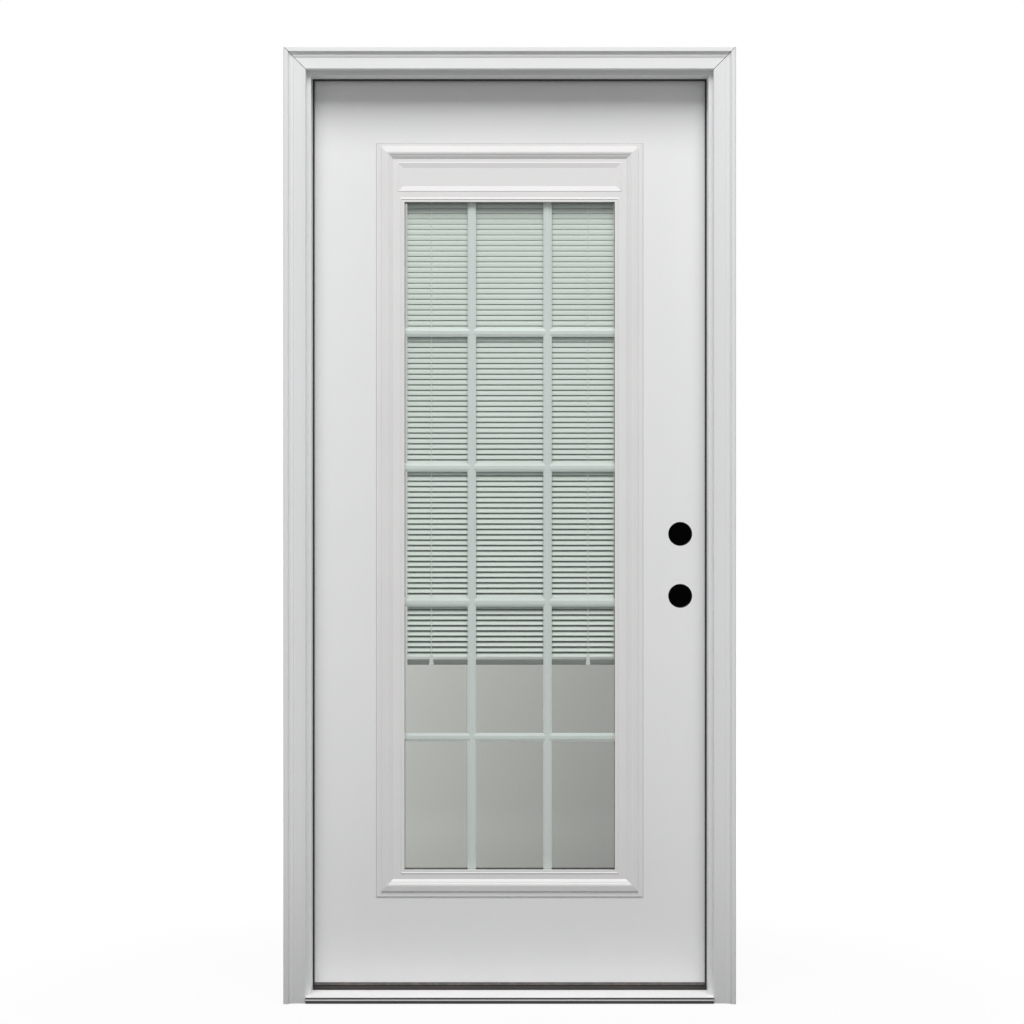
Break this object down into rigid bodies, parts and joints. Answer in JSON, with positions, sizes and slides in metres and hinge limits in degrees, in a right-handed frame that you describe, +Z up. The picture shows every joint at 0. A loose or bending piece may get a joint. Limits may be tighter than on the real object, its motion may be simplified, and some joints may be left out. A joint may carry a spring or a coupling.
{
  "type": "glazed steel entry door",
  "caption": "Inswing steel entry door hung in its cased wooden frame, with a tall glazed light that holds a grille and a lowered blind between its panes.",
  "frame": {"origin": "middle of the sill's underside, below the line where the casing's back meets the frame's outer edge", "axes": "+X to the right seen from outside, +Y into the building, +Z up"},
  "size_m": [1.004, 0.1617, 2.124],
  "materials": {
    "white_wood": "white satin paint on primed wood",
    "sill_composite": "matt composite substrate",
    "sill_aluminium": "bright mill finish",
    "cap_brown": "dark brown moulded plastic",
    "seal_black": "black flexible seal",
    "hinge_steel": "satin plated steel",
    "white_steel": "white factory primer, smooth",
    "bare_wood": "unfinished edge timber",
    "foam": "rigid foam",
    "cover_black": "black moulded plastic",
    "lite_white": "white moulded plastic, satin",
    "clear_glass": "clear float glass with a faint green edge",
    "spacer_grey": "matt spacer bar",
    "grille_white": "white painted roll-formed bar",
    "blind_white": "white painted slat",
    "cord_white": "white woven cord",
    "tassel_clear": "clear plastic"
  },
  "bodies": {
    "frame": {"hinge_jamb": "white_wood", "strike_jamb": "white_wood", "head_jamb": "white_wood", "casing_left": "white_wood", "casing_right": "white_wood", "casing_head": "white_wood", "sill_base": "sill_composite", "sill_deck": "sill_aluminium", "threshold_cap": "cap_brown", "weatherstrip_left": "seal_black", "weatherstrip_right": "seal_black", "weatherstrip_head": "seal_black", "latch_strike": "hinge_steel", "deadbolt_strike": "hinge_steel", "bottom_hinge_frame_leaf": "hinge_steel", "middle_hinge_frame_leaf": "hinge_steel", "top_hinge_frame_leaf": "hinge_steel", "bottom_hinge_pin": "hinge_steel", "middle_hinge_pin": "hinge_steel", "top_hinge_pin": "hinge_steel"},
    "door": {"exterior_skin": "white_steel", "interior_skin": "white_steel", "hinge_stile": "bare_wood", "lock_stile": "bare_wood", "lock_block": "bare_wood", "top_rail": "bare_wood", "bottom_rail": "bare_wood", "foam_core": "foam", "door_sweep": "seal_black", "bottom_hinge_door_leaf": "hinge_steel", "middle_hinge_door_leaf": "hinge_steel", "top_hinge_door_leaf": "hinge_steel", "latch_bore_cover": "cover_black", "deadbolt_bore_cover": "cover_black", "lite_frame_exterior": "lite_white", "lite_frame_interior": "lite_white", "lite_gasket": "seal_black", "glass_exterior": "clear_glass", "glass_interior": "clear_glass", "glass_spacer": "spacer_grey", "grille": "grille_white", "blind_headrail": "blind_white", "blind_slats": "blind_white", "blind_bottom_rail": "blind_white", "blind_cords": "cord_white", "blind_tassels": "tassel_clear"}
  },
  "joints": [
    {"name": "door_swing", "type": "hinge", "parent": "frame", "child": "door", "pos_m": [-0.4565, 0.1239, 1], "axis": [0, 0, 1], "range_deg": [0, 110]}
  ]
}
